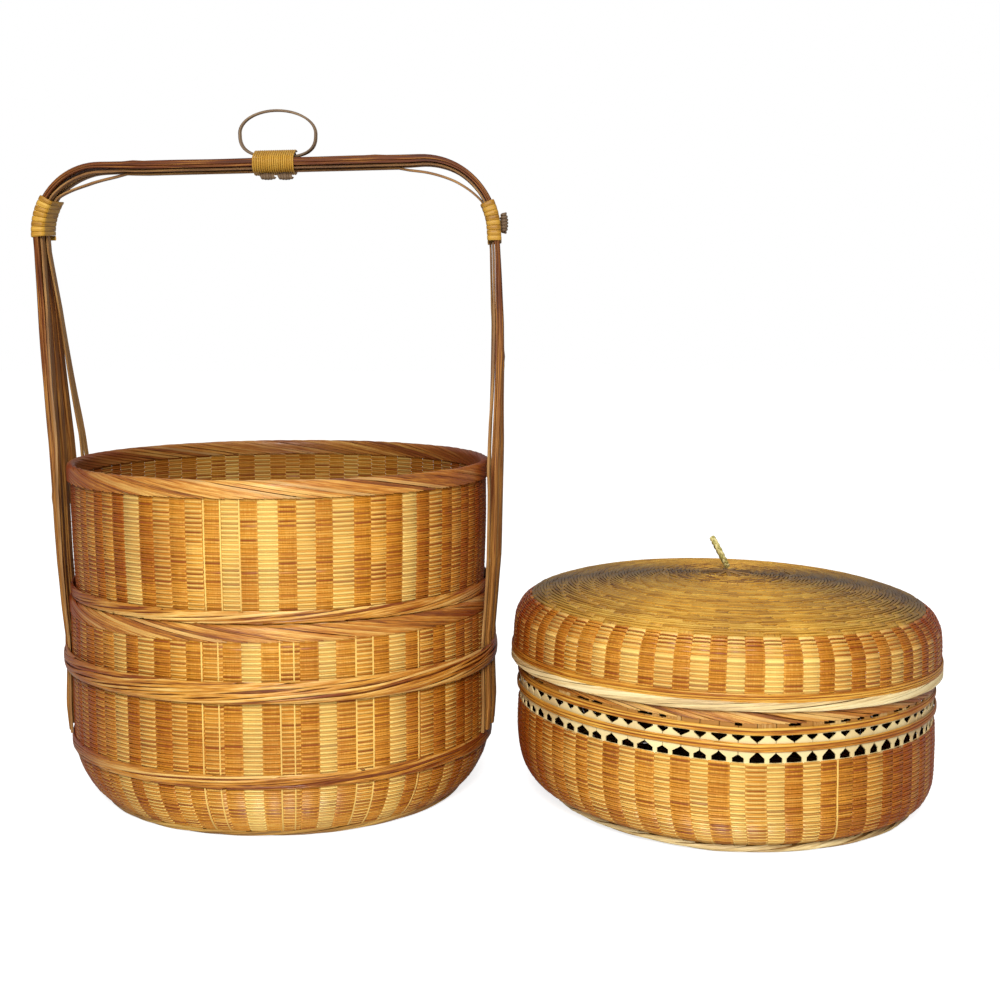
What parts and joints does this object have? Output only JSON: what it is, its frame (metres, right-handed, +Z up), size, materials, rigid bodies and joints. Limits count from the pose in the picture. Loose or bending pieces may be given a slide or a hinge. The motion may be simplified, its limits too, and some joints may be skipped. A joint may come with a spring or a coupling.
{
  "type": "tiered bamboo food basket",
  "caption": "Round tiered food basket of woven bamboo, with a tall arched handle, stacking trays and a domed lid set down beside the stack.",
  "frame": {"origin": "on the table, under the middle of the whole set's box", "axes": "+Z up, +X to the right along the row of the two groups, -Y towards the viewer"},
  "size_m": [0.68, 0.3616, 0.5174],
  "materials": {
    "weave": "golden brown split bamboo in plain weave, semi-gloss with age",
    "band": "twined rope band of split bamboo, satin",
    "border": "plaited red-brown bamboo border, satin",
    "straw": "pale straw-coloured strips, matt",
    "split": "dark polished bamboo splits, satin",
    "slip": "thin grey-brown bamboo slips, satin",
    "cane": "yellow split cane, satin",
    "ring_cane": "weathered brown cane, matt",
    "open_stakes": "cream bamboo stakes, satin",
    "crown": "close rows of fine bamboo weft, satin",
    "braid": "green-yellow braided straw, matt"
  },
  "bodies": {
    "base": {"base_wall": "weave", "base_floor": "weave", "base_foot_ring": "straw", "base_lower_wale": "band", "base_upper_wale": "band", "base_rim_border": "border", "handle_split_1": "split", "handle_split_2": "split", "handle_split_3": "split", "handle_split_4": "split", "handle_slip_front": "slip", "handle_slip_back": "slip", "handle_slip_inner": "slip", "left_lashing": "cane", "right_lashing": "cane", "right_lashing_knot": "ring_cane", "centre_lashing": "cane", "hanging_ring": "ring_cane", "ring_tail_left": "ring_cane", "ring_tail_right": "ring_cane"},
    "middle_tray": {"middle_wall": "weave", "middle_floor": "weave", "middle_foot_ring": "straw", "middle_ledge_wale": "band", "middle_rim_border": "border"},
    "top_tray": {"top_wall": "weave", "top_floor": "weave", "top_foot_ring": "straw", "top_openwork": "open_stakes", "top_mid_band": "band", "top_upper_band": "weave", "top_rim_border": "border"},
    "lid": {"lid_crown": "crown", "lid_skirt": "weave", "lid_edge_border": "straw", "lid_rest_hoop": "band", "lid_centre_star": "straw"},
    "lid_loop": {"lid_loop": "braid"}
  },
  "joints": [
    {"name": "middle_tray_lift", "type": "slide", "parent": "base", "child": "middle_tray", "axis": [0, 0, 1], "range_m": [0, 0.16]},
    {"name": "top_tray_lift", "type": "slide", "parent": "base", "child": "top_tray", "axis": [0, 0, 1], "range_m": [0, 0.25]},
    {"name": "lid_lift", "type": "slide", "parent": "top_tray", "child": "lid", "axis": [0, 0, 1], "range_m": [0, 0.15]},
    {"name": "lid_loop_swing", "type": "hinge", "parent": "lid", "child": "lid_loop", "pos_m": [0.18074, -0.02015, 0.17689], "axis": [0, 1, 0], "range_deg": [-48, 100]}
  ]
}
